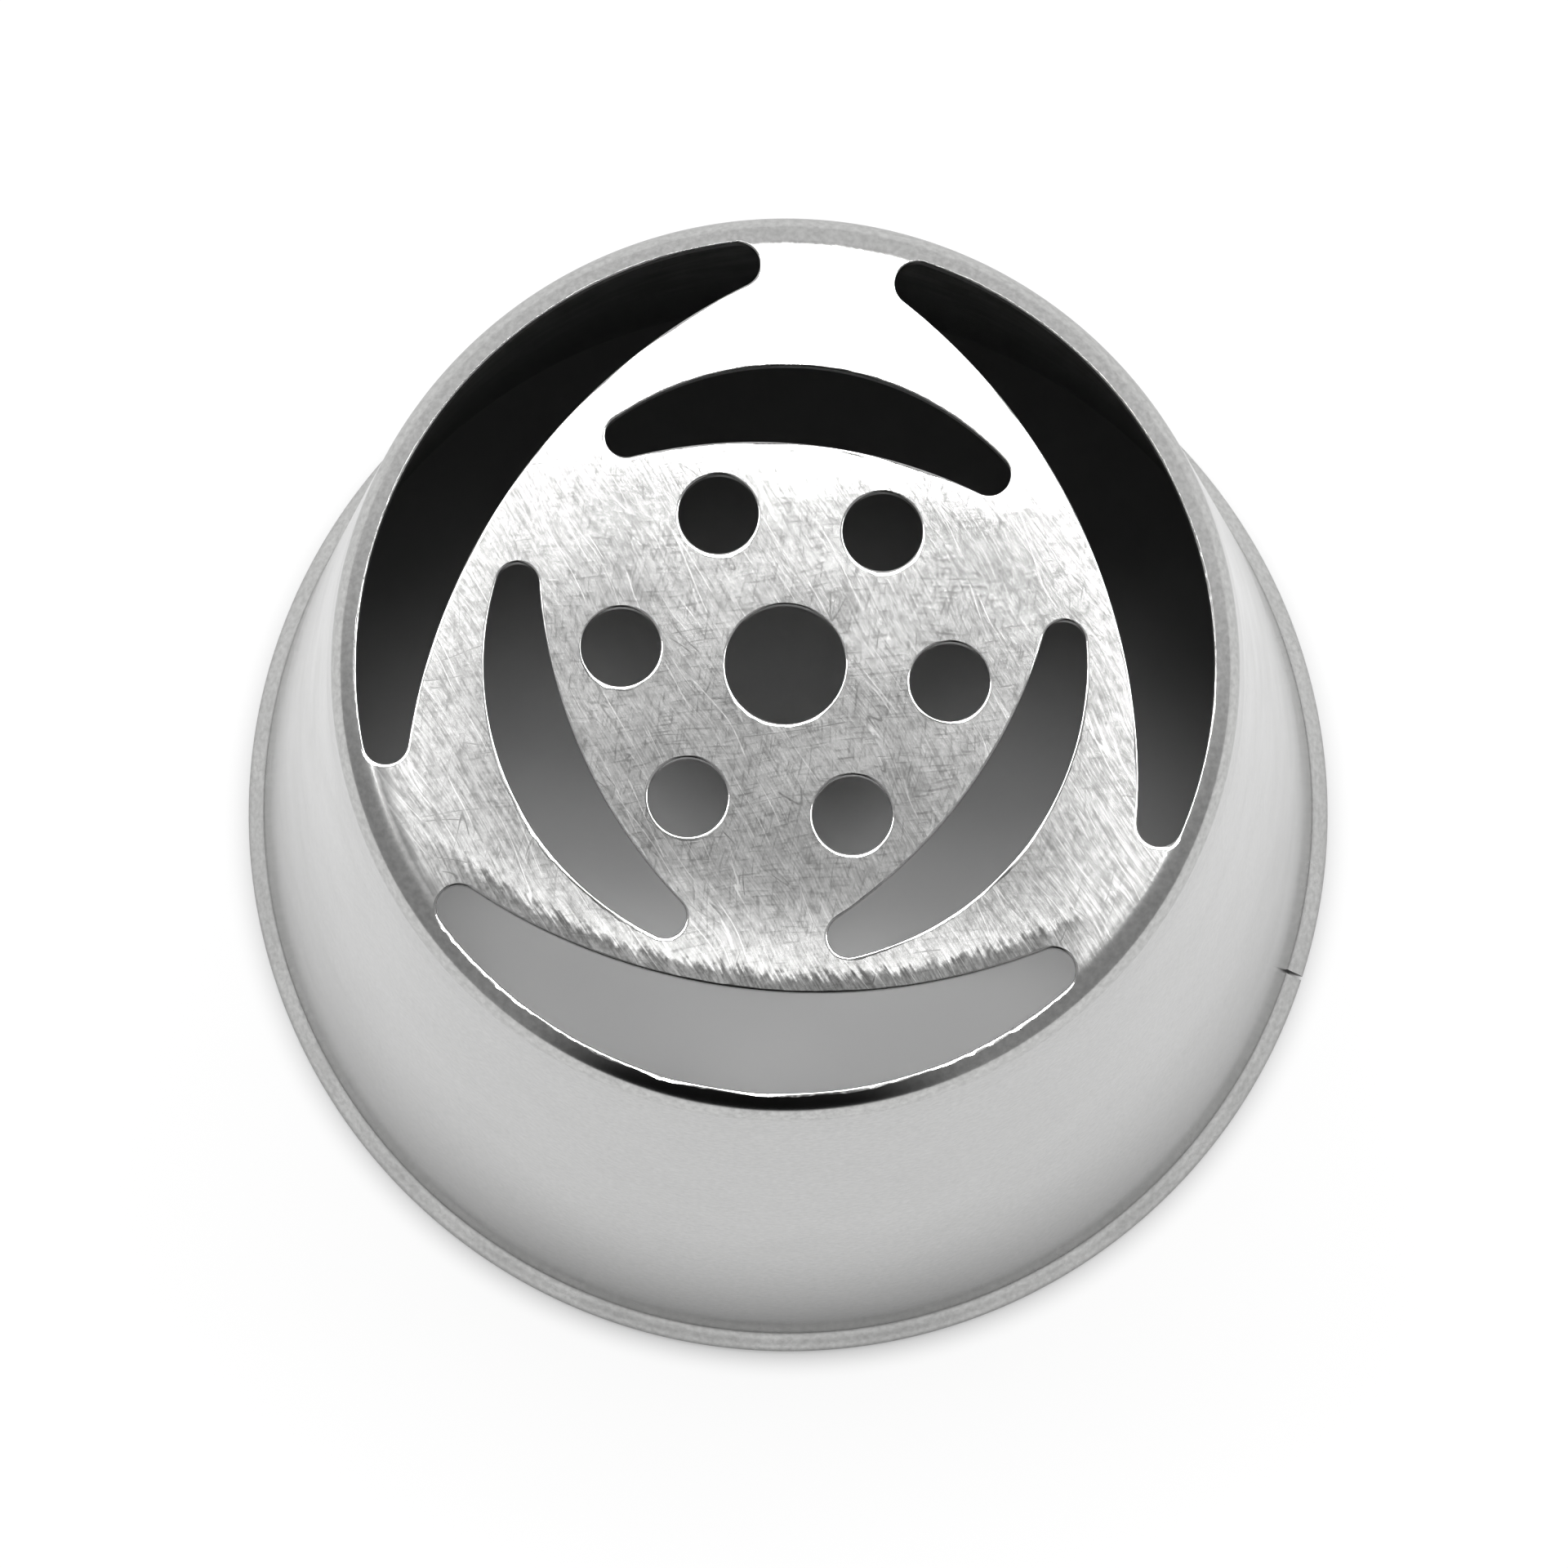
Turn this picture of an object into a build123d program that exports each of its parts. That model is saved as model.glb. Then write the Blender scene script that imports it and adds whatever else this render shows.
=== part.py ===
from build123d import *
import math
import os

# Piping nozzle for flowers: a tapered steel shell with a pierced face at its narrow end.
# All lengths are in millimetres. The foot stands on Z = 0 and the axis is Z.
# The front is -Y: the middle of one outer crescent faces it.

# The shell
height = 40.0
face_radius = 11.15
sheet = 0.5
bend_inside_radius = 0.45
cap_depth = 3.0
body_foot_radius = 16.1

# The half-round strip on the foot
ring_height = 1.2
ring_thickness = 0.46
ring_joint_gap = 0.12
ring_joint_azimuth = -12.0

# The openings of the face
centre_hole_radius = 1.6
petal_hole_radius = 1.06
petal_hole_count = 6
crescent_count = 3
rim_land = 0.2

# Shares of the slot circle, which passes through the outer edges of the outer crescents
petal_circle_share = 0.385
outer_crescent_width_share = 0.2368
outer_crescent_arc_share = 1.443
inner_crescent_circle_share = 0.7018
inner_crescent_width_share = 0.1833
inner_crescent_arc_share = 1.2018

# Shares of the width of a crescent, for its round ends
outer_crescent_end_share = 0.222
inner_crescent_end_share = 0.272

# How far every cut runs past the metal
overrun = 1.0

# Worked out from the sizes above
bend_radius = bend_inside_radius + sheet
bend_height = height - bend_radius
centre_distance = math.hypot(body_foot_radius - face_radius, bend_height)
taper = math.atan2(body_foot_radius - face_radius, bend_height) - math.asin(bend_radius / centre_distance)
wall_across = sheet / math.cos(taper)
inside_top_radius = face_radius + bend_inside_radius * math.cos(taper)
slot_circle = inside_top_radius - rim_land
joint_level = height - cap_depth

foot = Plane.XZ


def body_outside(level):
    """Outer radius of the conical wall at a height above the foot."""
    return body_foot_radius - level * math.tan(taper)


def body_inside(level):
    """Inner radius of the conical wall at a height above the foot."""
    return body_outside(level) - wall_across


def turned(outline):
    """Solid of revolution about Z of an outline drawn in the XZ plane."""
    return revolve(foot * make_face(outline), Axis.Z)


def on_bend(radius, angle):
    """Point of a bend arc, by its radius and its angle above the horizontal."""
    return (face_radius + radius * math.cos(angle), bend_height + radius * math.sin(angle))


def bend_arc(radius):
    """Arc of the bend from the flat face to the start of the wall."""
    middle = (math.pi / 2 + taper) / 2
    return ThreePointArc(on_bend(radius, math.pi / 2), on_bend(radius, middle), on_bend(radius, taper))


def cap_blank():
    """Unpierced cap: flat face, bend and skirt down to the weld with the body."""
    outer = bend_arc(bend_radius)
    inner = bend_arc(bend_inside_radius)
    top = Line((0, height), outer @ 0)
    skirt = Line(outer @ 1, (body_outside(joint_level), joint_level))
    weld = Line(skirt @ 1, (body_inside(joint_level), joint_level))
    skirt_inside = Line(weld @ 1, inner @ 1)
    ceiling = Line(inner @ 0, (0, height - sheet))
    axis = Line(ceiling @ 1, top @ 0)
    return turned([top, outer, skirt, weld, skirt_inside, inner, ceiling, axis])


def crescent(circle, width, arc_radius, end_radius):
    """Flat crescent along +X: a disc about the axis less a larger disc set back, with round ends."""
    set_back = arc_radius - (circle - width)
    moon = Circle(circle) - Pos(-set_back, 0) * Circle(arc_radius)
    return fillet(moon.vertices(), end_radius)


def outer_crescent():
    """Crescent whose outer edge lies on the slot circle, just inside the wall."""
    width = slot_circle * outer_crescent_width_share
    arc_radius = slot_circle * outer_crescent_arc_share
    return crescent(slot_circle, width, arc_radius, width * outer_crescent_end_share)


def inner_crescent():
    """Crescent between the outer crescents and the round holes."""
    circle = slot_circle * inner_crescent_circle_share
    width = slot_circle * inner_crescent_width_share
    arc_radius = slot_circle * inner_crescent_arc_share
    return crescent(circle, width, arc_radius, width * inner_crescent_end_share)


def face_pattern():
    """All openings of the face as one flat sketch at Z = 0."""
    openings = Sketch() + Circle(centre_hole_radius)
    openings += PolarLocations(slot_circle * petal_circle_share, petal_hole_count) * Circle(petal_hole_radius)
    turn = 360 / crescent_count
    for index in range(crescent_count):
        openings += Rot(0, 0, turn * index - 90) * outer_crescent()
        openings += Rot(0, 0, turn * index + 90) * inner_crescent()
    return openings


def pattern_cap():
    """Cap with the pattern pierced through its face."""
    cut_depth = bend_radius + overrun
    punch = extrude(Pos(0, 0, height - bend_radius) * face_pattern(), cut_depth)
    return cap_blank() - punch


def tapered_body():
    """Conical wall of even thickness from the foot up to the weld with the cap."""
    wall = Polyline(
        (body_inside(0), 0),
        (body_outside(0), 0),
        (body_outside(joint_level), joint_level),
        (body_inside(joint_level), joint_level),
        close=True,
    )
    return turned(wall)


def base_ring():
    """Half-round strip that hugs the cone at the foot, with one open butt joint."""
    middle = ring_height / 2
    back = Line((body_outside(0), 0), (body_outside(ring_height), ring_height))
    belly = ThreePointArc(back @ 1, (body_outside(middle) + ring_thickness, middle), back @ 0)
    ring = turned([back, belly])
    reach = body_outside(0) + ring_thickness + overrun
    saw = Pos(reach / 2, 0, middle) * Box(reach, ring_joint_gap, ring_height + overrun)
    return ring - Rot(0, 0, ring_joint_azimuth) * saw


nodes = {
    "pattern_cap": pattern_cap,
    "tapered_body": tapered_body,
    "base_ring": base_ring,
}

os.makedirs("parts", exist_ok=True)
for node, make in nodes.items():
    export_step(make(), f"parts/{node}.step")

print(f"taper {math.degrees(taper):.2f} degrees, slot circle {slot_circle:.2f}")
print(f"outside of the foot {body_outside(ring_height / 2) + ring_thickness:.2f}")
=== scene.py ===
# %% [markdown]
# # A piping nozzle for flowers
# The nozzle is a shell of stainless steel. It is open at the wide foot, and its narrow end is closed by a flat
# face pierced with holes and crescents. Icing that is pushed through them leaves as a whole flower. The solid
# model comes in as a fixed frame, and its three pieces get finer surfaces and finishes of their own here.

# %% Open the frame
import math

import bpy
import numpy as np
from mathutils import Matrix, Vector
from mathutils.geometry import delaunay_2d_cdt


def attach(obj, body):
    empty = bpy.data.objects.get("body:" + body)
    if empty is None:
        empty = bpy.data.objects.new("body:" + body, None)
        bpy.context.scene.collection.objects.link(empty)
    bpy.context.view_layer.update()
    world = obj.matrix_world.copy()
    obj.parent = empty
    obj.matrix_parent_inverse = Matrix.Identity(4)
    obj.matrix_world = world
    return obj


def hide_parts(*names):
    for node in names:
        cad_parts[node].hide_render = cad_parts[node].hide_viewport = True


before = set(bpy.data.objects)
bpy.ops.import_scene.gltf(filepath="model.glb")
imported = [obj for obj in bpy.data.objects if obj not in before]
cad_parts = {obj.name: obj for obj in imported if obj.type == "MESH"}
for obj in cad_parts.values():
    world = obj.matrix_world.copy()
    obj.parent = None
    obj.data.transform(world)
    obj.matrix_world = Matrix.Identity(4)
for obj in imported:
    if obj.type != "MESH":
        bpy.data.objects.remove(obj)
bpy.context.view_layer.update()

# %% [markdown]
# ## Sizes
# All lengths of the nozzle are in millimetres, as on the solid model, and turn to metres only when a mesh or a
# texture is made. The wall is the line that touches both the foot and the bend under the face, and its taper is
# the angle of that line. The outer edges of the outer crescents lie on the slot circle, a narrow land inside
# the wall. Every turned surface has the same number of columns, so that neighbours share their points.

# %% Sizes of the nozzle
MM = 0.001
height = 40.0
face_radius = 11.15
sheet = 0.5
bend_inside = 0.45
bend = bend_inside + sheet
joint_level = 37.0
foot_radius = 16.1
ring_height = 1.2
ring_thickness = 0.46
ring_gap = 0.12
ring_azimuth = math.radians(-12.0)

bend_level = height - bend
rise = foot_radius - face_radius
taper = math.atan2(rise, bend_level) - math.asin(bend / math.hypot(rise, bend_level))
wall_across = sheet / math.cos(taper)
rim_land = 0.2
slot_circle = face_radius + bend_inside * math.cos(taper) - rim_land
columns = 720


def cone(level, inwards=0.0):
    """Radius of the conical wall at a level: the foot radius less the level times the tangent of the taper."""
    return foot_radius - level * math.tan(taper) - inwards


print(f"taper {math.degrees(taper):.2f} degrees, slot circle {slot_circle:.2f} mm")

# %% [markdown]
# ## From arrays to a mesh
# Every surface below is a sheet: an array of points, an array of faces and one normal for each point. Sheets
# that share an edge are welded, so a piece is closed, but each corner of a face keeps the normal of its own
# sheet. This keeps a polished surface as true as its formula, and lets a sharp edge stay sharp.


# %% Weld sheets into one piece
def piece_from(name, sheets, uv=None):
    """Welds sheets of (points, faces, normals, finish) into one mesh object at the origin.

    Points that agree to a tenth of a micrometre become one. A face whose winding disagrees with its normals
    is turned round. The finish is the number of the material of the sheet's faces.
    """
    points = np.vstack([sheet_points for sheet_points, _, _, _ in sheets])
    normals = np.vstack([sheet_normals for _, _, sheet_normals, _ in sheets])
    normals /= np.linalg.norm(normals, axis=1, keepdims=True)
    _, first, weld = np.unique(np.round(points, 4), axis=0, return_index=True, return_inverse=True)
    weld = weld.reshape(-1)
    corners, kinds, start = [], [], 0
    for sheet_points, faces, _, finish in sheets:
        faces = faces + start
        start += len(sheet_points)
        if faces.shape[1] == 4:
            faces = np.vstack([faces[:, [0, 1, 2]], faces[:, [0, 2, 3]]])
        a, b, c = (points[faces[:, k]] for k in range(3))
        turned_round = np.einsum("ij,ij->i", np.cross(b - a, c - a), normals[faces].sum(axis=1)) < 0
        faces[turned_round] = faces[turned_round][:, ::-1]
        w = weld[faces]
        kept = (w[:, 0] != w[:, 1]) & (w[:, 1] != w[:, 2]) & (w[:, 0] != w[:, 2])
        corners.append(faces[kept])
        kinds.append(np.full(kept.sum(), finish))
    corners = np.vstack(corners)
    mesh = bpy.data.meshes.new(name)
    mesh.from_pydata(points[first] * MM, [], weld[corners])
    mesh.polygons.foreach_set("material_index", np.concatenate(kinds).astype(np.int32))
    mesh.polygons.foreach_set("use_smooth", np.ones(len(corners), dtype=bool))
    if uv is not None:
        layer = mesh.uv_layers.new(name="across_the_scratches")
        layer.uv.foreach_set("vector", uv(points[corners.reshape(-1)]).astype(np.float32).reshape(-1))
    mesh.normals_split_custom_set(normals[corners.reshape(-1)])
    made = bpy.data.objects.new(name, mesh)
    bpy.context.scene.collection.objects.link(made)
    print(f"{name}: {len(mesh.vertices)} vertices, {len(mesh.polygons)} faces")
    return made


def grid_faces(rows, across, closed=True):
    """Quads between neighbouring points of a grid of rows, joined end to end round each row when closed."""
    row = np.arange(rows - 1)[:, None] * across
    column = np.arange(across if closed else across - 1)[None, :]
    after = (column + 1) % across
    quads = np.stack([row + column, row + after, row + across + after, row + across + column], axis=-1)
    return quads.reshape(-1, 4)


# %% [markdown]
# ## Turned surfaces
# A nozzle is spun round one axis, so most of it is a profile turned about Z. A profile is a chain of straight
# runs and arcs. Each carries its own normals, because at the polished bend any flaw in them would show.


# %% Profiles and turning
def run(start, end, count=2):
    """Straight run of a profile. Its normal is the run's direction turned a quarter to the right."""
    steps = np.linspace(0, 1, count)[:, None]
    along = np.array(end, float) - start
    points = np.array(start, float) + steps * along
    normal = np.array([along[1], -along[0]]) / np.hypot(*along)
    return np.hstack([points, np.tile(normal, (count, 1))])


def arc(centre, radius, start, end, count):
    """Arc of a profile, by its angles from the outward horizontal. Its normal points away from the centre."""
    angles = np.radians(np.linspace(start, end, count))
    way = np.column_stack([np.cos(angles), np.sin(angles)])
    return np.hstack([np.array(centre) + radius * way, way])


def hollow_arc(centre, radius, start, end, count):
    """Arc whose metal lies outside it, so that its normal points to the centre."""
    made = arc(centre, radius, start, end, count)
    made[:, 2:] *= -1
    return made


def turned(profile, finish=0, start=0.0, sweep=2 * math.pi):
    """Sheet of revolution: x = r cos a, y = r sin a, z = level, for each profile point and each angle a."""
    closed = sweep >= 2 * math.pi
    angles = start + np.linspace(0, sweep, columns, endpoint=not closed)
    way = np.stack([np.cos(angles), np.sin(angles)], axis=-1)
    radius, level, out, up = (profile[:, k][:, None] for k in range(4))
    points = np.dstack([radius * way[:, 0], radius * way[:, 1], level + 0 * way[:, 0]]).reshape(-1, 3)
    normals = np.dstack([out * way[:, 0], out * way[:, 1], up + 0 * way[:, 0]]).reshape(-1, 3)
    return points, grid_faces(len(profile), columns, closed), normals, finish


# %% [markdown]
# ## The tapered body
# The body is a cone of half-millimetre sheet, rolled, welded and polished. It could be a cylinder with its top
# scaled, but a turned profile gives the foot its small rounding, where the sheet was cut and deburred, and
# keeps the inside a sheet's thickness away from the outside.

# %% Make the body
tilt = math.degrees(taper)
foot_round = 0.06
round_rows = 6
wall_rows = 12

# Centres of the two roundings, which touch the floor and one side of the sheet each
outer_foot = foot_radius - foot_round * (1 + math.sin(taper)) / math.cos(taper)
inner_foot = foot_radius - wall_across + foot_round * (1 - math.sin(taper)) / math.cos(taper)
outside_start = arc((outer_foot, foot_round), foot_round, -90, tilt, round_rows)
inside_end = arc((inner_foot, foot_round), foot_round, 180 + tilt, 270, round_rows)

weld_outside = (cone(joint_level), joint_level)
weld_inside = (cone(joint_level, wall_across), joint_level)
body_outside = np.vstack([outside_start, run(outside_start[-1, :2], weld_outside, wall_rows)])
body_top = run(weld_outside, weld_inside)
body_top[:, 2:] = (0, 1)
body_inside = np.vstack([run(weld_inside, inside_end[0, :2], wall_rows), inside_end])
body_under = run(inside_end[-1, :2], outside_start[0, :2])
body = piece_from(
    "nozzle_body",
    [turned(body_outside), turned(body_top), turned(body_inside, 1), turned(body_under)],
)
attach(body, "root")
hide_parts("tapered_body")

# %% [markdown]
# ## The rim
# A strip hugs the foot, stiffens it and stops the nozzle in its bag. It was bent round the cone and its ends
# nearly meet, with a hairline gap between. Its section leaves the wall gently, swells to its belly and turns
# under in a round of 0.3 mm. It could be a curve with a bevel, but a profile turned over the whole circle less
# the gap keeps it true to the cone, and its two ends are flat.


# %% Make the rim
def swell(top_level, belly_level, thickness, count=21):
    """Outer profile of the rim, from its belly up to where it leaves the wall.

    Over the height between the two levels, the distance from the wall goes from the whole thickness to nothing
    as half a wave of a cosine, so the profile is parallel to the wall at both ends.
    """
    share = np.linspace(0, 1, count)
    level = belly_level + share * (top_level - belly_level)
    away = thickness * (1 + np.cos(math.pi * share)) / 2
    slope = -thickness * math.pi * np.sin(math.pi * share) / 2 / (top_level - belly_level) - math.tan(taper)
    normals = np.column_stack([np.ones(count), -slope]) / np.hypot(1, slope)[:, None]
    return np.column_stack([cone(level) + away, level, normals])


# The belly keeps a few micrometres inside the solid model's strip
belly_level = 0.36
under_round = 0.3
belly_inset = 0.006
belly_reach = cone(ring_height / 2) + ring_thickness - belly_inset - cone(belly_level)
belly = swell(ring_height, belly_level, belly_reach)
under = arc(belly[0, :2] - under_round * belly[0, 2:], under_round, -90, tilt, 10)
belly = np.vstack([under, belly[1:]])
wall_facing = (-math.cos(taper), -math.sin(taper))
back = np.array([(cone(level), level, *wall_facing) for level in belly[::-1, 1]])
sole = run(back[-1, :2], under[0, :2])
half_gap = ring_gap / 2 / foot_radius
ring_span = {"start": ring_azimuth + half_gap, "sweep": 2 * math.pi - 2 * half_gap}
ring_sheets = [turned(part, **ring_span) for part in (belly, back, sole)]
section = np.vstack([belly[:, :2], back[::-1, :2]])
for angle, side in ((ring_span["start"], -1), (ring_span["start"] + ring_span["sweep"], 1)):
    way = np.array([math.cos(angle), math.sin(angle)])
    end_points = np.column_stack([section[:, :1] * way, section[:, 1]])
    end_normal = side * np.array([-way[1], way[0], 0.0])
    end_faces = grid_faces(2, len(belly), closed=False)
    ring_sheets.append((end_points, end_faces, np.tile(end_normal, (len(section), 1)), 0))
ring = piece_from("nozzle_rim", ring_sheets)
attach(ring, "root")
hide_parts("base_ring")

# %% [markdown]
# ## The openings of the face
# The openings were punched before the face was sanded. Each outline is a loop of arcs, and every point of it
# carries the direction into the metal. A crescent is a disc about the axis less a larger disc set back, with
# round ends, so its loop has four arcs. Moving each point along its direction makes the same opening larger,
# which is how the edges get their rounding.


# %% Outlines of the openings
spacing = 0.08


def arc_loop(centre, radius, start, end, inwards=False):
    """Points of one arc without its last, and their directions: away from its centre, or to it if inwards."""
    count = max(8, math.ceil(abs(end - start) * radius / spacing))
    angles = start + (end - start) * np.arange(count) / count
    way = np.column_stack([np.cos(angles), np.sin(angles)])
    return np.array(centre) + radius * way, -way if inwards else way


def round_hole(centre, radius):
    """Loop of a round hole."""
    return arc_loop(centre, radius, 0, 2 * math.pi)


def crescent(circle, width, arc_radius, end_radius, turn):
    """Loop of a crescent whose middle lies at the angle turn.

    The centre of an end lies one end radius inside the outer circle and one outside the inner one, so it is
    where the circles of radius (circle - end) and (arc radius + end) cross.
    """
    back = arc_radius - (circle - width)
    x = ((arc_radius + end_radius) ** 2 - (circle - end_radius) ** 2 - back**2) / (2 * back)
    y = math.sqrt((circle - end_radius) ** 2 - x**2)
    outer, inner = math.atan2(y, x), math.atan2(y, x + back)
    arcs = [
        arc_loop((0, 0), circle, -outer, outer),
        arc_loop((x, y), end_radius, outer, math.pi + inner),
        arc_loop((-back, 0), arc_radius, inner, -inner, inwards=True),
        arc_loop((x, -y), end_radius, math.pi - inner, 2 * math.pi - outer),
    ]
    points = np.vstack([points for points, _ in arcs])
    into = np.vstack([into for _, into in arcs])
    c, s = math.cos(turn), math.sin(turn)
    rotate = np.array([[c, s], [-s, c]])
    return points @ rotate, into @ rotate


# Radii of the round holes
centre_hole = 1.6
petal_hole = 1.06
petal_count = 6
crescent_count = 3

# Shares of the slot circle, and the end rounds as shares of a crescent's width, as on the solid model
petal_circle = 0.385 * slot_circle
outer_width = 0.2368 * slot_circle
outer_arc = 1.443 * slot_circle
outer_end = 0.222 * outer_width
inner_circle = 0.7018 * slot_circle
inner_width = 0.1833 * slot_circle
inner_arc = 1.2018 * slot_circle
inner_end = 0.272 * inner_width

openings = [round_hole((0, 0), centre_hole)]
for k in range(petal_count):
    turn = 2 * math.pi / petal_count * k
    petal = petal_circle * np.array([math.cos(turn), math.sin(turn)])
    openings.append(round_hole(petal, petal_hole))
for k in range(crescent_count):
    turn = 2 * math.pi / crescent_count * k
    openings.append(crescent(slot_circle, outer_width, outer_arc, outer_end, turn - math.pi / 2))
    openings.append(crescent(inner_circle, inner_width, inner_arc, inner_end, turn + math.pi / 2))
print(len(openings), "openings,", sum(len(points) for points, _ in openings), "points round them")

# %% [markdown]
# ## The pierced face
# The face is a dome, too shallow to see, that curves down at its rim. It is a sheet over the plane: each point
# (x, y) gets its level from its distance to the axis. Only the pierced outline needs care, so a Delaunay
# triangulation fills the plane between the outlines, and the level is added after it. A Boolean would cut the
# same openings, but leaves long broken faces at their edges.


# %% Levels of the two sides of the sheet
dome = 0.12
bend_centre = (face_radius + dome * math.tan(taper), bend_level - dome)


def side_level(radius, bend_size):
    """Level and slope of one side of the sheet.

    The face is a shallow dome that falls with the square of the radius, and past it the level follows the
    circle of the bend. The bend sits lower by the height of the dome, and touches the same cone.
    """
    past = np.clip(radius - bend_centre[0], 0, bend_size * 0.999)
    drop = np.sqrt(bend_size**2 - past**2)
    share = np.minimum(radius / face_radius, 1.0)
    level = bend_centre[1] + drop + dome * (1 - share**2)
    slope = -past / drop - np.where(share < 1, 2 * dome * share / face_radius, 0.0)
    return level, slope


def side_normals(xy, bend_size, up):
    """Normals of a side: upright, leaned out by the slope of the bend at that radius."""
    radius = np.linalg.norm(xy, axis=1)
    slope = side_level(radius, bend_size)[1]
    way = xy / np.maximum(radius, 1e-9)[:, None]
    return up * np.column_stack([-slope[:, None] * way, np.ones(len(xy))])


def inside_loop(xy, loop):
    """True for each point inside a loop, by counting the edges of the loop that a ray to the right crosses."""
    x, y = xy[:, 0][:, None], xy[:, 1][:, None]
    x0, y0 = loop.T
    x1, y1 = np.roll(loop, -1, axis=0).T
    spans = (y0 > y) != (y1 > y)
    crossing = x0 + (y - y0) / np.where(y1 == y0, 1.0, y1 - y0) * (x1 - x0)
    return (spans & (x < crossing)).sum(axis=1) % 2 == 1


def ring_of(radius, count=columns):
    """Points of a circle about the axis, in step with the columns of the turned surfaces."""
    angles = np.arange(count) * 2 * math.pi / count
    return radius * np.column_stack([np.cos(angles), np.sin(angles)])


# Spacing of the free points, the reach of their circles, and how far they keep from every outline
lattice = 0.5
lattice_reach = 11
loop_clearance = 0.05
merge_distance = 1e-7


def pierced_side(loops, rim, rings, bend_size, up, finish):
    """Sheet of one side of the face, filled between the rim circle and the loops of the openings."""
    radii = np.arange(lattice, lattice_reach, lattice)
    inner = [ring_of(radius, round(2 * math.pi * radius / lattice)) for radius in radii]
    free = np.vstack([ring_of(radius) for radius in rings] + inner)
    clear = np.ones(len(free), bool)
    for loop in loops:
        clear &= ~inside_loop(free, loop)
        gap = np.min(np.linalg.norm(free[:, None, :] - loop[None, ::2, :], axis=2), axis=1)
        clear &= gap > loop_clearance
    free = free[clear]
    bounds = [ring_of(rim), *loops]
    given = np.vstack([*bounds, free])
    edges, start = [], 0
    for bound in bounds:
        index = np.arange(len(bound))
        edges.append(np.column_stack([index, np.roll(index, -1)]) + start)
        start += len(bound)
    given_points = [Vector(point) for point in given]
    found = delaunay_2d_cdt(given_points, np.vstack(edges).tolist(), [], 0, merge_distance)
    found_faces, found_origins = found[2], found[3]
    source = np.array([origin[0] for origin in found_origins])
    faces = source[np.array(found_faces)]
    middles = given[faces].mean(axis=1)
    kept = np.linalg.norm(middles, axis=1) < rim
    for loop in loops:
        kept &= ~inside_loop(middles, loop)
    level = side_level(np.linalg.norm(given, axis=1), bend_size)[0]
    return np.column_stack([given, level]), faces[kept], side_normals(given, bend_size, up), finish


# %% [markdown]
# ## The edges of the openings
# A punched edge is never sharp. The punch pulls the sheet down before it shears, which leaves a shallow roll,
# and sanding flattens the burr. So the edge slopes gently into the opening for a tenth of a millimetre or so,
# less at the back of an opening, where the belt met it first, and then turns down. Where the slope faces a
# lamp, it is a thin bright line, and where it faces away, a dark one. A bevel would give an even edge, so each
# opening gets a band along its loop instead: the roll, a tight round, the cut wall, and a round below.

# %% Rolls and cut walls
rng = np.random.default_rng(7)
roll_width = 0.085
roll_slopes = np.tan(np.radians([3.2, 4.2, 4.8, 5.4, 6, 6.6, 11]))
lip_round = 0.025
bottom_round = 0.05
round_steps = 5

# The share of the width that is left where the belt came first, and the steeper fall towards both sides
leading_share = 0.3
side_share = 0.3

# Slow and quick unevenness of the width, and that of the fall
slow_width = 0.22
quick_width = 0.14
fall_spread = 0.3


def uneven(count, share, step):
    """Smooth random factor round a loop: 1 plus noise that is averaged over a few neighbours, end to end."""
    noise = rng.standard_normal(count)
    window = np.exp(-0.5 * (np.arange(-step * 2, step * 2 + 1) / step) ** 2)
    ring = np.concatenate([noise[-step * 2:], noise, noise[: step * 2]])
    smooth = np.convolve(ring, window / np.sqrt((window**2).sum()), mode="valid")
    return 1 + share * np.clip(smooth, -2, 2)


def edge_band(points, into, width, fall):
    """Band of one opening, from the face to its underside.

    The roll starts at the level of the face and falls by its slopes, which are absolute. The lip round, the
    wall and the bottom round follow. The width of the roll and its fall vary along the loop.
    """
    start = points + (width + lip_round)[:, None] * into
    level = side_level(np.linalg.norm(start, axis=1), bend)[0]
    rows = [np.column_stack([start, level])]
    step = width / len(roll_slopes)
    for number, slope in enumerate(roll_slopes, 1):
        level = level - step * slope * fall
        xy = points + (width - number * step + lip_round)[:, None] * into
        rows.append(np.column_stack([xy, level]))
    angles = np.linspace(math.atan(roll_slopes[-1]), math.pi / 2, round_steps)
    for angle in angles[1:]:
        xy = points + lip_round * (1 - math.sin(angle)) * into
        rows.append(np.column_stack([xy, level - lip_round * (1 - math.cos(angle))]))
    wall_row = len(rows)
    for angle in np.linspace(0, math.pi / 2, round_steps):
        xy = points + bottom_round * (1 - math.cos(angle)) * into
        under = side_level(np.linalg.norm(xy, axis=1), bend_inside)[0]
        rows.append(np.column_stack([xy, under + bottom_round * (1 - math.sin(angle))]))
    grid = np.array(rows)
    along = np.roll(grid, -1, axis=1) - np.roll(grid, 1, axis=1)
    across = np.gradient(grid, axis=0)
    across[wall_row - 1] = across[wall_row] = grid[wall_row] - grid[wall_row - 1]
    normals = np.cross(across, along)
    to_opening = -np.column_stack([into, np.zeros(len(into))])
    wrong = np.einsum("ij,ij->i", normals[wall_row], to_opening) < 0
    normals[:, wrong] *= -1
    normals /= np.linalg.norm(normals, axis=2, keepdims=True)
    normals[0] = side_normals(grid[0][:, :2], bend, 1)
    normals[-1] = side_normals(grid[-1][:, :2], bend_inside, -1)
    return grid.reshape(-1, 3), grid_faces(len(grid), len(points)), normals.reshape(-1, 3), 2


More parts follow.
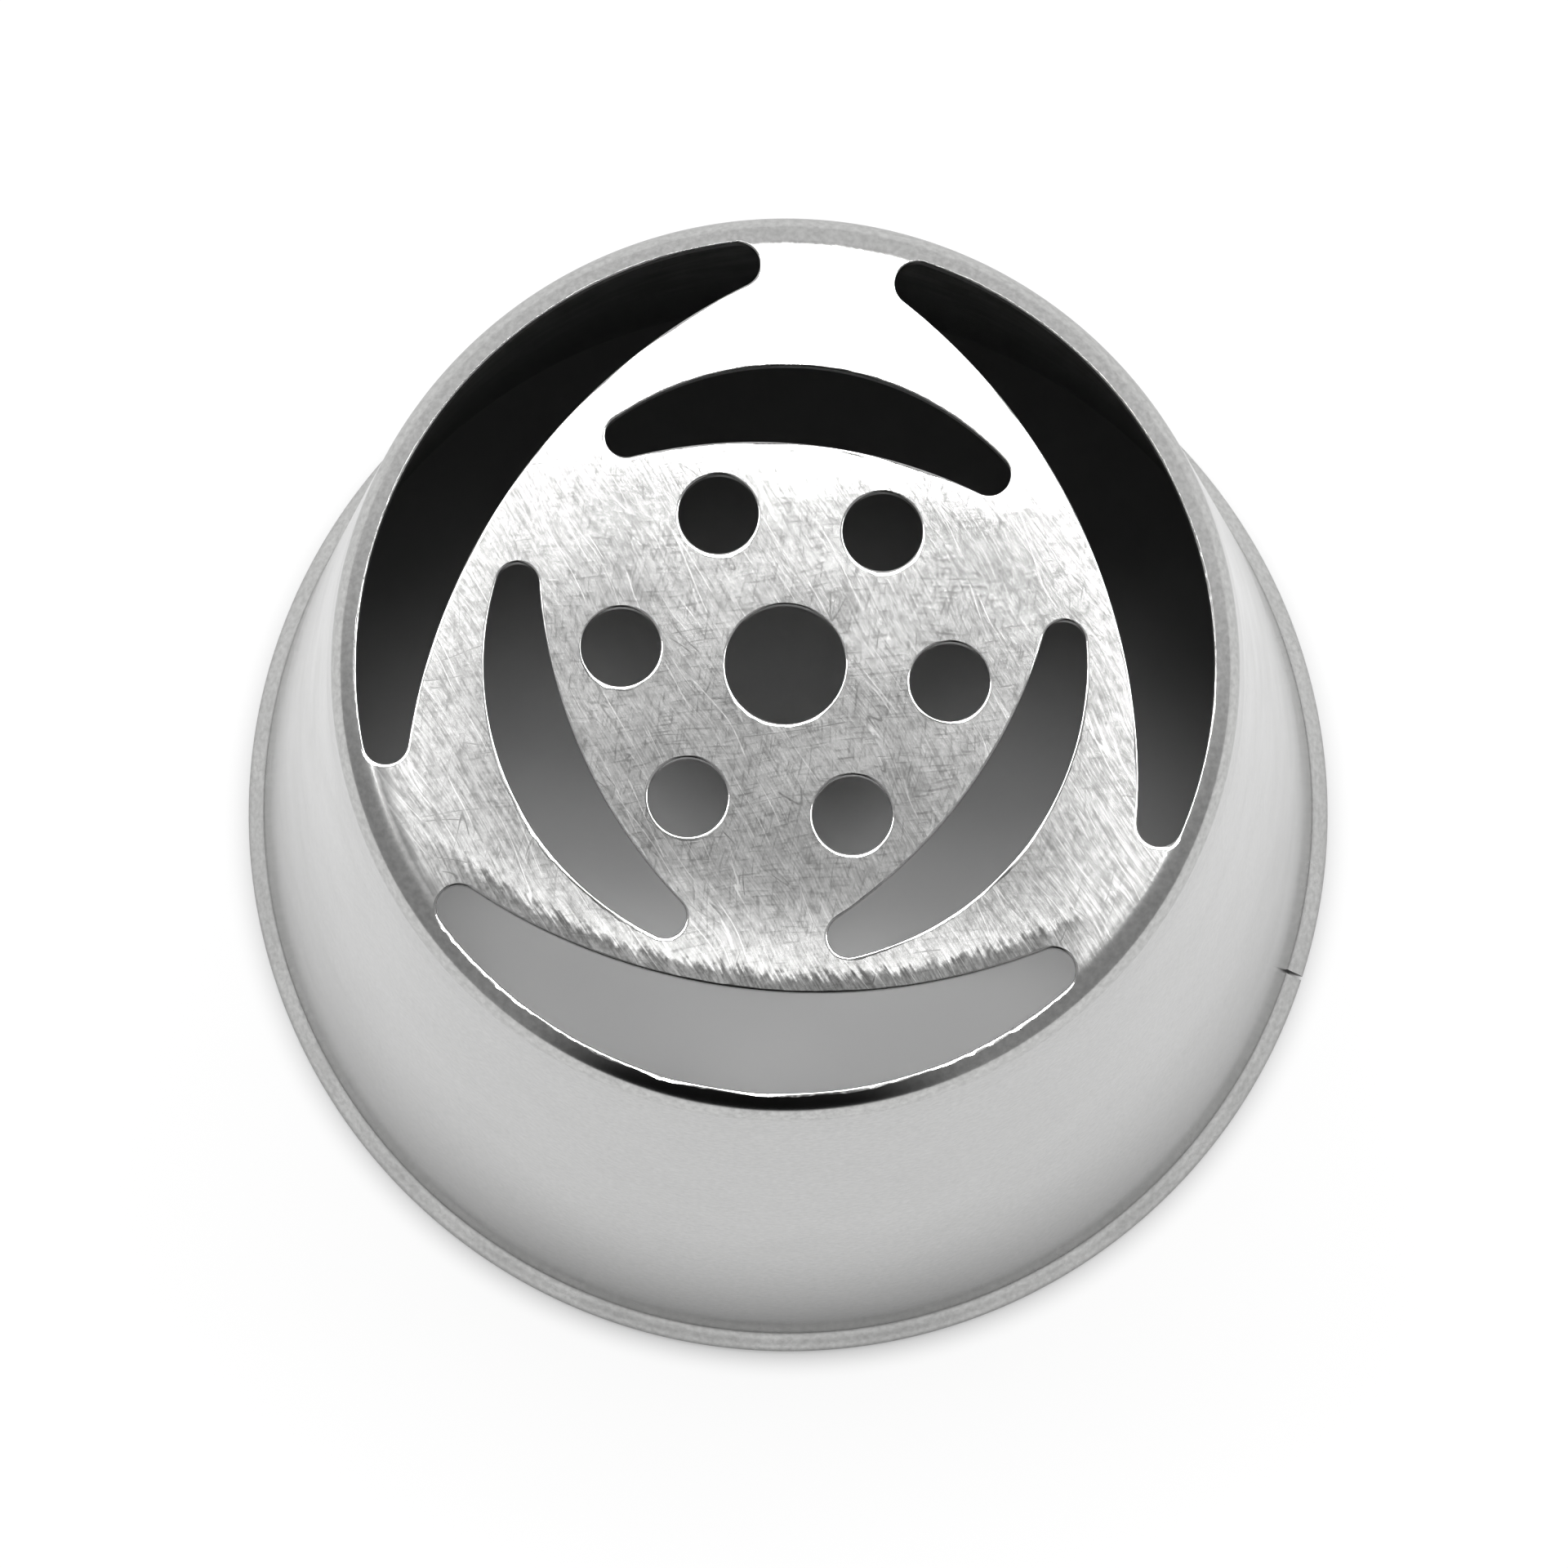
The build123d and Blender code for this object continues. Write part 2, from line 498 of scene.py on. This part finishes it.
# An edge trails by 0 at the back of its opening and by 1 at the front
top_loops, bottom_loops, cap_sheets = [], [], []
for points, into in openings:
    trailing = ((1 - into[:, 1]) / 2) ** 2
    width = roll_width * (leading_share + (1 - leading_share) * trailing)
    width *= uneven(len(points), slow_width, step=7) * uneven(len(points), quick_width, step=1)
    fall = uneven(len(points), fall_spread, step=6) * (1 + side_share * np.abs(into[:, 0]))
    top_loops.append(points + (width + lip_round)[:, None] * into)
    bottom_loops.append(points + bottom_round * into)
    cap_sheets.append(edge_band(points, into, width, fall))
print(f"{len(cap_sheets)} edge bands, {sum(len(band[1]) for band in cap_sheets)} quads")

# %% [markdown]
# ## The cap
# The two sides of the face meet the rest of the cap along circles on the bend: the bend and the skirt outside,
# the ring where the skirt is welded to the body, and the inner skirt and bend. Together they close the piece.

# %% Make the cap
# Degrees round the bend, off the zenith, that each side of the face reaches, and its rings of points on the way
top_reach = 26
inner_reach = 52
top_rim = bend_centre[0] + bend * math.sin(math.radians(top_reach))
inner_rim = bend_centre[0] + bend_inside * math.sin(math.radians(inner_reach))
top_rings = face_radius + np.array([0.0, 0.08, 0.16, 0.24, 0.33])
inner_rings = face_radius + np.array([0.0, 0.1, 0.2])

outer_bend = arc(bend_centre, bend, 90 - top_reach, tilt, 20)
inner_bend = hollow_arc(bend_centre, bend_inside, tilt, 90 - inner_reach, 8)
outer_skirt = run(outer_bend[-1, :2], weld_outside, 4)
outer_skirt[:, 2:] = (math.cos(taper), math.sin(taper))
inner_skirt = run(weld_inside, inner_bend[0, :2], 3)
inner_skirt[:, 2:] = (-math.cos(taper), -math.sin(taper))
weld_ring = run(weld_outside, weld_inside)
weld_ring[:, 2:] = (0, -1)
cap_sheets += [
    pierced_side(top_loops, top_rim, top_rings, bend, 1, 0),
    pierced_side(bottom_loops, inner_rim, inner_rings, bend_inside, -1, 1),
    turned(np.vstack([outer_bend, outer_skirt])),
    turned(weld_ring),
    turned(np.vstack([inner_skirt, inner_bend]), 1),
]

# Direction of the sanding on the face, between the back left and the front right
scratch_angle = math.radians(-54)


def across_scratches(points):
    """Flat map of the face in millimetres, turned so that its first direction crosses the sanding."""
    c, s = math.cos(scratch_angle), math.sin(scratch_angle)
    return np.column_stack([points[:, 1] * c - points[:, 0] * s, -points[:, 0] * c - points[:, 1] * s])


cap = piece_from("nozzle_cap", cap_sheets, uv=across_scratches)
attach(cap, "root")
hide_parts("pattern_cap")

# %% [markdown]
# ## Building finishes
# A finish is a small tree of nodes. One function adds a node with its settings and its links, and the others
# are short names for what the finishes use most. Colours are written as sRGB hex values, as a colour picker
# gives them, and turned to the linear values that light needs.


# %% Helpers for finishes
def linear(code):
    """Linear colour of an sRGB hex code: each channel below 0.04045 over 12.92, others by the 2.4 power."""
    channels = [int(code[k : k + 2], 16) / 255 for k in (1, 3, 5)]
    return tuple(c / 12.92 if c <= 0.04045 else ((c + 0.055) / 1.055) ** 2.4 for c in channels) + (1.0,)


def add(tree, kind, sockets=None, **settings):
    """Adds a node. Each named socket gets a value, or a link where the value is another node's output."""
    made = tree.nodes.new(kind)
    for name, value in settings.items():
        setattr(made, name, value)
    for name, value in (sockets or {}).items():
        if isinstance(value, bpy.types.NodeSocket):
            tree.links.new(value, made.inputs[name])
        else:
            made.inputs[name].default_value = value
    return made


def new_finish(name):
    """New material, its empty tree, and the object coordinates that every pattern starts from."""
    made = bpy.data.materials.new(name)
    made.use_nodes = True
    made.node_tree.nodes.clear()
    return made, made.node_tree, add(made.node_tree, "ShaderNodeTexCoord").outputs["Object"]


def combine(tree, operation, a, b=0.0, c=0.0, clamp=False):
    """One step of arithmetic on up to three values."""
    return add(tree, "ShaderNodeMath", {0: a, 1: b, 2: c}, operation=operation, use_clamp=clamp).outputs[0]


def times_add(tree, a, b, c):
    """The product of two values plus a third."""
    return combine(tree, "MULTIPLY_ADD", a, b, c)


def off_middle(tree, value, reach, base):
    """A base value moved by a noise, which is 0.5 in the middle, times a reach."""
    return times_add(tree, combine(tree, "SUBTRACT", value, 0.5), reach, base)


def distance(tree, x, y):
    """Distance to the origin from two coordinates, by Pythagoras."""
    return combine(tree, "SQRT", times_add(tree, x, x, combine(tree, "MULTIPLY", y, y)))


def blend(tree, factor, low, high):
    """Colour between two colours, by a factor from 0 to 1."""
    tones = {"Factor": factor, "A": low, "B": high}
    return add(tree, "ShaderNodeMix", tones, data_type="RGBA").outputs["Result"]


def remap(tree, value, low, high, to_low=0.0, to_high=1.0, smooth=False):
    """Value from one range to another, held at its ends."""
    kind = "SMOOTHSTEP" if smooth else "LINEAR"
    sockets = {"Value": value, "From Min": low, "From Max": high, "To Min": to_low, "To Max": to_high}
    return add(tree, "ShaderNodeMapRange", sockets, interpolation_type=kind).outputs["Result"]


def grain(tree, place, size, angle=0.0, detail=2.0, rough=0.5, shift=0.0):
    """Noise whose grains have the given real length, width and depth in millimetres, turned about Z."""
    sockets = {
        "Vector": place,
        "Location": (shift * MM, shift * MM, 0.0),
        "Rotation": (0.0, 0.0, angle),
        "Scale": tuple(side * MM for side in size),
    }
    mapped = add(tree, "ShaderNodeMapping", sockets, vector_type="TEXTURE").outputs[0]
    sockets = {"Vector": mapped, "Scale": 1.0, "Detail": detail, "Roughness": rough}
    return add(tree, "ShaderNodeTexNoise", sockets).outputs["Fac"]


# %% [markdown]
# ## Polished stainless steel
# The wall was buffed with wax after rolling, so it mirrors the room. A buffed sheet still holds a faint haze,
# tiny pits and slow waves from the rolls. The waves are about ten millimetres long and bend the mirrored edges
# a little. Real pits are finer than a pixel, so they are drawn at a tenth of a millimetre, where they show.


# %% Polished wall
def flecked(tree, place):
    """Colour of stainless steel with a fine fleck, up to a tenth lighter and darker."""
    fleck = grain(tree, place, (0.16, 0.16, 0.16), detail=2, shift=13)
    return blend(tree, remap(tree, fleck, 0.3, 0.7), linear("#B4B4B3"), linear("#C8C8C7"))


def polish(tree, place, haze, wave, pits):
    """Colour, roughness and normal of a buffed sheet.

    The haze is a roughness, and the waves and pits are the depths of two reliefs in millimetres.
    """
    cloud = grain(tree, place, (3.0, 3.0, 3.0), detail=3)
    speck = grain(tree, place, (0.09, 0.09, 0.09), detail=1)
    rough = remap(tree, cloud, 0.3, 0.7, haze * 0.8, haze * 1.25)
    slow = grain(tree, place, (9.0, 9.0, 14.0), detail=1)
    waves = add(tree, "ShaderNodeBump", {"Height": slow, "Strength": 1.0, "Distance": wave * MM}).outputs[0]
    sockets = {"Height": speck, "Strength": 1.0, "Distance": pits * MM, "Normal": waves}
    return flecked(tree, place), rough, add(tree, "ShaderNodeBump", sockets).outputs[0]


def steel(tree, tint, rough, normal, **more):
    """Stainless steel with its output. The tint keeps its reflection below white at a grazing angle."""
    sockets = {
        "Base Color": tint,
        "Specular Tint": linear("#E4E4E4"),
        "Metallic": 1.0,
        "Roughness": rough,
        "Normal": normal,
        **more,
    }
    shader = add(tree, "ShaderNodeBsdfPrincipled", sockets)
    add(tree, "ShaderNodeOutputMaterial", {"Surface": shader.outputs[0]})


polished, tree, place = new_finish("buffed_stainless_steel")
steel(tree, *polish(tree, place, haze=0.12, wave=0.005, pits=0.0009))
print("made", polished.name)

# %% [markdown]
# ## Rolled stainless steel inside
# No one buffs the inside. It keeps the dull finish of the rolling mill, darker and softer in its reflections,
# with shallow drawn marks that run up the wall.

# %% Inside finish
inside, tree, place = new_finish("mill_finish_stainless_steel")
cloud = grain(tree, place, (1.5, 1.5, 1.5), detail=4)
rolled = grain(tree, place, (0.3, 0.3, 6.0), detail=2)
rough = remap(tree, cloud, 0.3, 0.7, 0.15, 0.23)
normal = add(tree, "ShaderNodeBump", {"Height": rolled, "Strength": 1.0, "Distance": 0.002 * MM}).outputs[0]
steel(tree, linear("#A8A8A7"), rough, normal)
body.data.materials.append(polished)
body.data.materials.append(inside)
print("made", inside.name)

# %% [markdown]
# ## The rim's finish
# The strip was buffed with the wall, but it stands proud and every bag and table rubs it, so it has more haze.

# %% Rim finish
rim_finish, tree, place = new_finish("handled_stainless_steel")
steel(tree, *polish(tree, place, haze=0.3, wave=0.004, pits=0.0009))
ring.data.materials.append(rim_finish)
print("made", rim_finish.name)

# %% [markdown]
# ## Sanded stainless steel
# The face was sanded on a belt after punching, which left short fine scratches in one direction, and crossing
# ones where it was touched up by hand. Sanding stops where the bend begins, along a ragged line, and the buffed
# steel of the bend shows beyond it. The scratches of a 240 grit belt are about 0.03 mm wide, and they are drawn
# at 0.05 mm, to show as single lines. A scratch spreads light across itself, so the reflection is stretched
# that way too, by the tangent of the flat map.

# %% Sanded face
sanded, tree, place = new_finish("belt_sanded_stainless_steel")
xyz = add(tree, "ShaderNodeSeparateXYZ", {0: place}).outputs

# The scratches drift a little, as under a belt held by hand
drift_size = 4.0
drift_reach = (0.9 * MM, 0.9 * MM, 0.9 * MM)
sockets = {"Vector": place, "Scale": 1 / (drift_size * MM), "Detail": 1.0}
drift = add(tree, "ShaderNodeTexNoise", sockets).outputs["Color"]
drift = add(tree, "ShaderNodeVectorMath", {0: drift, 1: (0.5, 0.5, 0.5)}, operation="SUBTRACT").outputs[0]
sockets = {0: drift, 1: drift_reach, 2: place}
bent = add(tree, "ShaderNodeVectorMath", sockets, operation="MULTIPLY_ADD").outputs[0]

# Scratches along the belt, fine and coarse, two sets that cross them, and small blotches
fine = grain(tree, bent, (0.9, 0.05, 0.5), scratch_angle, detail=2)
coarse = grain(tree, bent, (2.4, 0.1, 0.5), scratch_angle, detail=2, shift=7)
crossing = grain(tree, bent, (0.7, 0.07, 0.5), scratch_angle + math.radians(66), detail=2, shift=3)
slanting = grain(tree, bent, (0.6, 0.07, 0.5), scratch_angle - math.radians(38), detail=2, shift=19)
mottle = grain(tree, place, (0.22, 0.12, 0.5), scratch_angle, detail=2, rough=0.6, shift=11)
blotch = grain(tree, place, (0.32, 0.26, 0.5), scratch_angle, detail=3, rough=0.65, shift=23)
patches = grain(tree, place, (2.2, 1.8, 3.0), 0.0, detail=2, shift=5)


def long_scratches(angle, length, thin, thick, shift):
    """Few long thin lines at an angle: the middle level of a stretched noise, kept only in some places."""
    waves = grain(tree, bent, (6.0, 0.5, 3.0), math.radians(angle), detail=0, shift=shift)
    level = combine(tree, "ABSOLUTE", combine(tree, "SUBTRACT", waves, 0.5))
    where = grain(tree, place, (length, 0.9, 3.0), math.radians(angle), detail=1, shift=shift + 5)
    line = remap(tree, level, thin, thick, 1.0, 0.0)
    return combine(tree, "MULTIPLY", line, remap(tree, where, 0.55, 0.6))


# A few deep scratches from use are dark, and some long ones along the belt get a painted highlight, a lighter
# colour as if they faced the lamps
deep = 0.0
for angle, shift in ((86, 31), (8, 43), (-40, 57)):
    deep = combine(tree, "MAXIMUM", deep, long_scratches(angle, 1.3, 0.003, 0.012, shift))
longer = long_scratches(-57, 2.5, 0.004, 0.016, 71)
shorter = long_scratches(-52, 2.0, 0.003, 0.013, 83)
painted_scratch_highlight = combine(tree, "MAXIMUM", longer, shorter)

# The sanded disc lies a little to the right of the axis, and its edge is frayed along the scratches
sanded_centre = (0.17, 0.05)
sanded_edge = 11.26
dx = combine(tree, "SUBTRACT", xyz[0], sanded_centre[0] * MM)
dy = combine(tree, "SUBTRACT", xyz[1], sanded_centre[1] * MM)
radius = distance(tree, dx, dy)
frayed = off_middle(tree, coarse, 0.5 * MM, radius)
disc = remap(tree, frayed, (sanded_edge - 0.3) * MM, (sanded_edge + 0.06) * MM, 1.0, 0.0)

# The punch pulled the sheet down along the front crescent, and the belt missed most of that strip
arc_centre = outer_arc - (slot_circle - outer_width)
from_centre = distance(tree, xyz[0], combine(tree, "SUBTRACT", xyz[1], arc_centre * MM))
missed = off_middle(tree, coarse, 0.7 * MM, from_centre)
missed = off_middle(tree, blotch, 0.6 * MM, missed)
missed = remap(tree, missed, (outer_arc - 0.62) * MM, (outer_arc - 0.32) * MM, smooth=True)
beside = remap(tree, combine(tree, "ABSOLUTE", xyz[0]), 7.5 * MM, 9.5 * MM, 1.0, 0.0)
missed = combine(tree, "MULTIPLY", missed, beside)
mask = combine(tree, "MULTIPLY", disc, times_add(tree, missed, -0.8, 1.0))

# The belt bit harder away from the middle, behind a ragged line at the back, and towards the front
bite = remap(tree, radius, 6.0 * MM, 10.8 * MM, smooth=True)
edge_line = off_middle(tree, patches, 1.2 * MM, xyz[1])
edge_line = off_middle(tree, coarse, 3.0 * MM, edge_line)
pressed = remap(tree, edge_line, 4.4 * MM, 5.6 * MM, smooth=True)
leaned = remap(tree, xyz[1], -8.9 * MM, -4.9 * MM, 1.0, 0.0, smooth=True)

# Roughness: sanded where the mask is 1, buffed elsewhere
worn = times_add(tree, mottle, 0.4, combine(tree, "MULTIPLY", patches, 0.25))
sanded_rough = remap(tree, worn, 0.24, 0.42, 0.163, 0.203)
for harder, more in ((bite, 0.055), (pressed, 0.06), (leaned, 0.09)):
    sanded_rough = times_add(tree, harder, more, sanded_rough)
haze = remap(tree, patches, 0.3, 0.7, 0.145, 0.165)
sockets = {"Factor": mask, "A": haze, "B": sanded_rough}
rough = add(tree, "ShaderNodeMix", sockets, data_type="FLOAT").outputs[0]

# Relief: scratches about a micrometre deep. Where the belt bit, its own are deeper, the crossing ones fainter
along = times_add(tree, coarse, 0.9, fine)
across = combine(tree, "MULTIPLY", combine(tree, "ADD", crossing, slanting), times_add(tree, bite, -0.3, 0.35))
relief = times_add(tree, along, times_add(tree, bite, 0.2, 0.4), across)
relief = times_add(tree, mottle, 0.9, relief)
relief = combine(tree, "MULTIPLY", relief, disc)
normal = add(tree, "ShaderNodeBump", {"Height": relief, "Strength": 1.0, "Distance": 0.0012 * MM}).outputs[0]

# Tone: streaks, most where the belt bit, blotches everywhere, and crossing strokes, most in the middle
streaks = combine(tree, "MULTIPLY", remap(tree, fine, 0.4, 0.66), times_add(tree, bite, 0.1, 0.3))
broad = combine(tree, "MULTIPLY", remap(tree, coarse, 0.42, 0.62), times_add(tree, bite, 0.15, 0.1))
tone = combine(tree, "ADD", streaks, broad)
tone = times_add(tree, remap(tree, mottle, 0.36, 0.64), 0.4, tone)
tone = times_add(tree, remap(tree, blotch, 0.42, 0.66), 0.35, tone)
for one_set in (crossing, slanting):
    stroke = combine(tree, "MULTIPLY", remap(tree, one_set, 0.56, 0.72), times_add(tree, bite, -0.3, 0.4))
    tone = combine(tree, "ADD", tone, stroke)
tone = combine(tree, "MAXIMUM", tone, deep)
# Painted highlight: the long scratches along the belt are drawn lighter in colour
tone = combine(tree, "MULTIPLY_ADD", painted_scratch_highlight, -0.9, tone, clamp=True)
sanded_color = blend(tree, tone, linear("#D0D0CF"), linear("#868685"))
color = blend(tree, disc, flecked(tree, place), sanded_color)
tangent = add(tree, "ShaderNodeTangent", direction_type="UV_MAP", uv_map="across_the_scratches").outputs[0]
stretch = combine(tree, "MULTIPLY", mask, 0.6)
steel(tree, color, rough, normal, Anisotropic=stretch, Tangent=tangent)
cap.data.materials.append(sanded)
cap.data.materials.append(inside)
print("made", sanded.name)

# %% [markdown]
# ## The punched edges
# The belt does not reach down into the rolled edges, and the punch left them burnished. They are the smoothest
# steel on the nozzle, with fine pits and no waves.

# %% Punched edges
edge_finish, tree, place = new_finish("punched_edge_of_stainless_steel")
steel(tree, *polish(tree, place, haze=0.09, wave=0.0, pits=0.0006))
cap.data.materials.append(edge_finish)
print("made", edge_finish.name)

# %% [markdown]
# ## The floor
# Steel shows its surroundings more than itself, so they are built as well. The nozzle stands on uncoated white
# paper, a felt of fibres without gloss. Outside the foot, part of its white is a glow that only the camera and
# mirrors see, as if much more light fell on it. Under the nozzle it has none, and its colour is painted light
# and shade: white at the front and grey at the back, which gives the openings of the face their darkness.

# %% Paper floor
floor_reach = 3000.0
floor_sides = 96
angles = np.arange(floor_sides) * 2 * math.pi / floor_sides
floor_edge = np.column_stack([np.cos(angles), np.sin(angles), 0 * angles]) * floor_reach
floor_points = np.vstack([[0.0, 0.0, 0.0], floor_edge])
floor_faces = np.array([[0, k + 1, (k + 1) % floor_sides + 1] for k in range(floor_sides)])
floor_mesh = bpy.data.meshes.new("studio_floor")
floor_mesh.from_pydata(floor_points * MM, [], floor_faces.tolist())
floor = bpy.data.objects.new("studio_floor", floor_mesh)
bpy.context.scene.collection.objects.link(floor)

paper, tree, place = new_finish("matt_white_paper")
ray = add(tree, "ShaderNodeLightPath").outputs
xyz = add(tree, "ShaderNodeSeparateXYZ", {0: place}).outputs
away = distance(tree, xyz[0], xyz[1])

# The glow, as a share of the light that the paper sends out, for mirrors and for the camera
glow_share = 0.85
mirrored = combine(tree, "ADD", ray["Is Glossy Ray"], ray["Is Transmission Ray"], clamp=True)
in_mirrors = remap(tree, away, 15.4 * MM, 19.6 * MM, 0.0, glow_share, smooth=True)
in_mirrors = combine(tree, "MULTIPLY", mirrored, in_mirrors)
in_camera = remap(tree, away, 15.7 * MM, 17.4 * MM, 0.0, glow_share, smooth=True)
share = times_add(tree, ray["Is Camera Ray"], in_camera, in_mirrors)
glow = add(tree, "ShaderNodeEmission", {"Color": linear("#FFFFFF"), "Strength": 1.06})

# The tint: painted light and shade under the nozzle, white at the front and grey at its back, and paper white
# outside the foot
painted_light_spot = -6.0
from_painted_light = distance(tree, xyz[0], combine(tree, "ADD", xyz[1], -painted_light_spot * MM))
shade = remap(tree, from_painted_light, 9.0 * MM, 18.0 * MM, smooth=True)
painted_light_and_shade_under_nozzle = blend(tree, shade, linear("#FAFAFA"), linear("#808080"))
outside = remap(tree, away, 15.6 * MM, 16.2 * MM)
tint = blend(tree, outside, painted_light_and_shade_under_nozzle, linear("#D0D0D0"))
sockets = {"Base Color": tint, "Roughness": 0.9, "Specular IOR Level": 0.1}
shader = add(tree, "ShaderNodeBsdfPrincipled", sockets)
mixed = add(tree, "ShaderNodeMixShader", {0: share, 1: shader.outputs[0], 2: glow.outputs[0]})
add(tree, "ShaderNodeOutputMaterial", {"Surface": mixed.outputs[0]})
floor_mesh.materials.append(paper)
print("made", paper.name, "floor,", len(floor_mesh.polygons), "faces")

# %% [markdown]
# ## The lamps
# A wide lamp hangs high at the back, and a smaller one high on each side. They stand just outside what a flat
# mirror in place of the face would show the camera, so that sanded steel catches them and buffed steel doesn't.
# They also draw the pale arc on the bend and the bright edges of the openings.

# %% Lamps
lamp_distance = 600.0


def hang_lamp(name, tilt, turn, across, down, radiance):
    """Rectangular lamp that faces the origin, a tilt off the zenith towards the direction turned from the back.

    Its sides are angles too, seen from the origin, so that each is twice the distance times a tangent. White
    paper has a radiance of 1 here, and the power of a lamp is pi times its area times its radiance.
    """
    tilt, turn, across, down = (math.radians(angle) for angle in (tilt, turn, across, down))
    light = bpy.data.lights.new(name, "AREA")
    light.shape = "RECTANGLE"
    light.size = 2 * lamp_distance * math.tan(across / 2) * MM
    light.size_y = 2 * lamp_distance * math.tan(down / 2) * MM
    light.energy = math.pi * light.size * light.size_y * radiance
    lamp = bpy.data.objects.new(name, light)
    away = math.sin(tilt)
    way = Vector((-away * math.sin(turn), away * math.cos(turn), math.cos(tilt)))
    lamp.location = way * lamp_distance * MM
    lamp.rotation_euler = (-tilt, 0, turn)
    bpy.context.scene.collection.objects.link(lamp)
    print(f"{name}: {light.energy:.2f} W")


hang_lamp("back_lamp", tilt=17.5, turn=-2, across=30, down=7, radiance=28)
hang_lamp("left_lamp", tilt=21.5, turn=62, across=13, down=9, radiance=26)
hang_lamp("right_lamp", tilt=21.5, turn=-62, across=13, down=9, radiance=20)

# %% [markdown]
# ## The dark card
# A card covered with black velvet stands in front, and the wall mirrors it as a soft dark band. Velvet is a
# pile of fine threads that swallow light. The card fades out to both sides, so that the band has no hard end,
# and the camera doesn't see it.

# %% Dark card in front
# Half width, lower edge, upper edge and distance of the card, in metres
card_half_width = 0.45
card_bottom = 0.06
card_top = 1.3
card_place = 0.62
card_points = [
    (-card_half_width, -card_place, card_bottom),
    (card_half_width, -card_place, card_bottom),
    (card_half_width, -card_place, card_top),
    (-card_half_width, -card_place, card_top),
]
card_mesh = bpy.data.meshes.new("dark_card")
card_mesh.from_pydata(card_points, [], [(0, 1, 2, 3)])
card = bpy.data.objects.new("dark_card", card_mesh)
card.visible_camera = False
bpy.context.scene.collection.objects.link(card)
velvet, tree, place = new_finish("black_velvet")
side = combine(tree, "ABSOLUTE", add(tree, "ShaderNodeSeparateXYZ", {0: place}).outputs[0])
clear = remap(tree, side, 0.2, card_half_width, smooth=True)
shader = add(tree, "ShaderNodeBsdfDiffuse", {"Color": linear("#101010")})
through = add(tree, "ShaderNodeBsdfTransparent")
mixed = add(tree, "ShaderNodeMixShader", {0: clear, 1: shader.outputs[0], 2: through.outputs[0]})
add(tree, "ShaderNodeOutputMaterial", {"Surface": mixed.outputs[0]})
card_mesh.materials.append(velvet)
print("made", velvet.name, "card, metres wide and high:", 2 * card_half_width, card_top - card_bottom)

# %% [markdown]
# ## The room
# The rest of the room is pale grey, lighter at the back than at the front. A dark strip runs overhead from
# front to back, where the camera and its boom hang, and the middle of the face mirrors it.

# %% Room
world = bpy.data.worlds.new("room")
world.use_nodes = True
bpy.context.scene.world = world
tree = world.node_tree
tree.nodes.clear()
way = add(tree, "ShaderNodeTexCoord").outputs["Generated"]
way = add(tree, "ShaderNodeSeparateXYZ", {0: way}).outputs
behind = remap(tree, way[1], -0.3, 0.6, 0.36, 0.85, smooth=True)
overhead = remap(tree, way[2], 0.75, 0.95, 1.0, 0.1, smooth=True)
sideways = remap(tree, combine(tree, "ABSOLUTE", way[0]), 0.03, 0.14, smooth=True)
overhead = combine(tree, "MAXIMUM", overhead, sideways)
level = combine(tree, "MULTIPLY", behind, overhead)
background = add(tree, "ShaderNodeBackground", {"Color": linear("#FFFFFF"), "Strength": level})
add(tree, "ShaderNodeOutputWorld", {"Surface": background.outputs[0]})
print("made", world.name, "with", len(tree.nodes), "nodes")

# %% [markdown]
# ## The camera
# The camera looks almost straight down from the front, with a long lens, and leans a few degrees to one side.
# Its three axes come from its place, its aim and the direction that is up in the picture.

# %% Camera
camera_place = Vector((3.69, -29.22, 297.19)) * MM
camera_aim = Vector((0.308, -3.189, 40.0)) * MM
camera_up = Vector((-0.1057, 0.9892, 0.1015))
back_axis = (camera_place - camera_aim).normalized()
right_axis = camera_up.cross(back_axis).normalized()
up_axis = back_axis.cross(right_axis)
focal_length = 224.0
film_width = 36.0
lens = bpy.data.cameras.new("camera")
lens.lens = focal_length
lens.sensor_width = film_width
camera = bpy.data.objects.new("camera", lens)
camera.location = camera_place
camera.rotation_mode = "QUATERNION"
camera.rotation_quaternion = Matrix((right_axis, up_axis, back_axis)).transposed().to_quaternion()
bpy.context.scene.collection.objects.link(camera)
bpy.context.scene.camera = camera
bpy.context.scene.view_settings.view_transform = "Standard"
print("camera", round((camera_place - camera_aim).length / MM), "mm away, lens", focal_length, "mm")

# %% Update the scene
bpy.context.view_layer.update()
